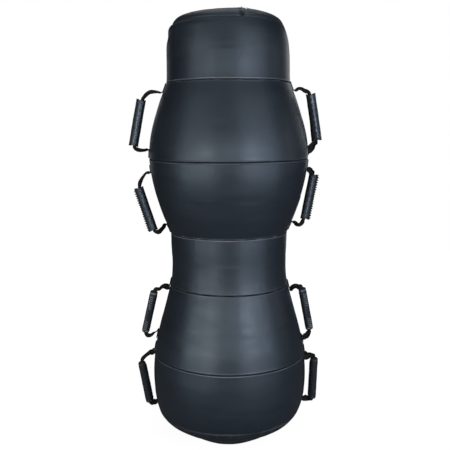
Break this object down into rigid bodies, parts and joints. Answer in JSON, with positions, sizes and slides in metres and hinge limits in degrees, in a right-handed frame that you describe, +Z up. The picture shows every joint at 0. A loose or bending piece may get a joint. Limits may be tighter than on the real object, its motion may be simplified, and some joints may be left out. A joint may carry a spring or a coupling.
{
  "type": "punching bag",
  "caption": "Free-standing hourglass bag for striking, lifting and throwing practice, with sewn leather panels, a zipped crown and gripped webbing handles down both sides.",
  "frame": {"origin": "centre of the flat base the bag stands on", "axes": "+Z up along the bag, -Y the front that the picture shows, handles on the -X and +X sides"},
  "size_m": [0.5417, 0.4406, 1.1998],
  "materials": {
    "bag_leather": "semi-gloss, fine grain",
    "grip_leather": "semi-gloss, smooth",
    "webbing": "ribbed weave",
    "grip_core": "matte",
    "lining": "plain weave",
    "filling": "shredded textile, packed",
    "zip_tape": "fine twill",
    "zip_teeth": "satin",
    "zip_metal": "satin"
  },
  "bodies": {
    "bag": {"base_panel": "bag_leather", "lower_hip_panel": "bag_leather", "upper_hip_panel": "bag_leather", "waist_panel": "bag_leather", "chest_panel": "bag_leather", "shoulder_panel": "bag_leather", "head_panel": "bag_leather", "crown_panel": "bag_leather", "lining_sack": "lining", "textile_filling": "filling", "zip_tape_left": "zip_tape", "zip_tape_right": "zip_tape", "zip_teeth_left": "zip_teeth", "zip_teeth_right": "zip_teeth", "zip_stop_front": "zip_metal", "zip_stop_back": "zip_metal", "strap_end_top_shoulder_left": "webbing", "strap_end_bottom_shoulder_left": "webbing", "strap_end_top_shoulder_right": "webbing", "strap_end_bottom_shoulder_right": "webbing", "strap_end_top_chest_left": "webbing", "strap_end_bottom_chest_left": "webbing", "strap_end_top_chest_right": "webbing", "strap_end_bottom_chest_right": "webbing", "strap_end_top_upper_hip_left": "webbing", "strap_end_bottom_upper_hip_left": "webbing", "strap_end_top_upper_hip_right": "webbing", "strap_end_bottom_upper_hip_right": "webbing", "strap_end_top_lower_hip_left": "webbing", "strap_end_bottom_lower_hip_left": "webbing", "strap_end_top_lower_hip_right": "webbing", "strap_end_bottom_lower_hip_right": "webbing"},
    "zip_slider": {"zip_slider": "zip_metal"},
    "zip_pull": {"zip_pull": "zip_metal"},
    "handle_shoulder_left": {"strap_loop_shoulder_left": "webbing", "grip_sleeve_shoulder_left": "grip_leather", "grip_core_shoulder_left": "grip_core"},
    "handle_shoulder_right": {"strap_loop_shoulder_right": "webbing", "grip_sleeve_shoulder_right": "grip_leather", "grip_core_shoulder_right": "grip_core"},
    "handle_chest_left": {"strap_loop_chest_left": "webbing", "grip_sleeve_chest_left": "grip_leather", "grip_core_chest_left": "grip_core"},
    "handle_chest_right": {"strap_loop_chest_right": "webbing", "grip_sleeve_chest_right": "grip_leather", "grip_core_chest_right": "grip_core"},
    "handle_upper_hip_left": {"strap_loop_upper_hip_left": "webbing", "grip_sleeve_upper_hip_left": "grip_leather", "grip_core_upper_hip_left": "grip_core"},
    "handle_upper_hip_right": {"strap_loop_upper_hip_right": "webbing", "grip_sleeve_upper_hip_right": "grip_leather", "grip_core_upper_hip_right": "grip_core"},
    "handle_lower_hip_left": {"strap_loop_lower_hip_left": "webbing", "grip_sleeve_lower_hip_left": "grip_leather", "grip_core_lower_hip_left": "grip_core"},
    "handle_lower_hip_right": {"strap_loop_lower_hip_right": "webbing", "grip_sleeve_lower_hip_right": "grip_leather", "grip_core_lower_hip_right": "grip_core"}
  },
  "joints": [
    {"name": "zip_travel", "type": "hinge", "parent": "bag", "child": "zip_slider", "pos_m": [0, 0, 0.78], "axis": [-0.9272, -0.3746, 0], "range_deg": [0, 25], "deforming": ["zip_teeth_left", "zip_teeth_right"]},
    {"name": "zip_pull_swing", "type": "hinge", "parent": "zip_slider", "child": "zip_pull", "pos_m": [0.03431, -0.08493, 1.19148], "axis": [-0.9272, -0.3746, 0], "range_deg": [0, 170]},
    {"name": "swing_shoulder_left", "type": "hinge", "parent": "bag", "child": "handle_shoulder_left", "pos_m": [-0.19795, 0, 0.9085], "axis": [0.2531, 0, 0.9674], "range_deg": [-50, 50], "deforming": ["strap_loop_shoulder_left"]},
    {"name": "swing_shoulder_right", "type": "hinge", "parent": "bag", "child": "handle_shoulder_right", "pos_m": [0.19721, 0, 0.9125], "axis": [-0.2614, 0, 0.9652], "range_deg": [-50, 50], "deforming": ["strap_loop_shoulder_right"]},
    {"name": "swing_chest_left", "type": "hinge", "parent": "bag", "child": "handle_chest_left", "pos_m": [-0.1945, 0, 0.6935], "axis": [-0.2766, 0, 0.961], "range_deg": [-50, 50], "deforming": ["strap_loop_chest_left"]},
    {"name": "swing_chest_right", "type": "hinge", "parent": "bag", "child": "handle_chest_right", "pos_m": [0.1966, 0, 0.703], "axis": [0.2602, 0, 0.9656], "range_deg": [-50, 50], "deforming": ["strap_loop_chest_right"]},
    {"name": "swing_upper_hip_left", "type": "hinge", "parent": "bag", "child": "handle_upper_hip_left", "pos_m": [-0.18715, 0, 0.3735], "axis": [0.2562, 0, 0.9666], "range_deg": [-50, 50], "deforming": ["strap_loop_upper_hip_left"]},
    {"name": "swing_upper_hip_right", "type": "hinge", "parent": "bag", "child": "handle_upper_hip_right", "pos_m": [0.19, 0, 0.3615], "axis": [-0.2531, 0, 0.9674], "range_deg": [-50, 50], "deforming": ["strap_loop_upper_hip_right"]},
    {"name": "swing_lower_hip_left", "type": "hinge", "parent": "bag", "child": "handle_lower_hip_left", "pos_m": [-0.21206, 0, 0.171], "axis": [-0.0691, 0, 0.9976], "range_deg": [-50, 50], "deforming": ["strap_loop_lower_hip_left"]},
    {"name": "swing_lower_hip_right", "type": "hinge", "parent": "bag", "child": "handle_lower_hip_right", "pos_m": [0.21362, 0, 0.17], "axis": [0.0629, 0, 0.998], "range_deg": [-50, 50], "deforming": ["strap_loop_lower_hip_right"]}
  ]
}
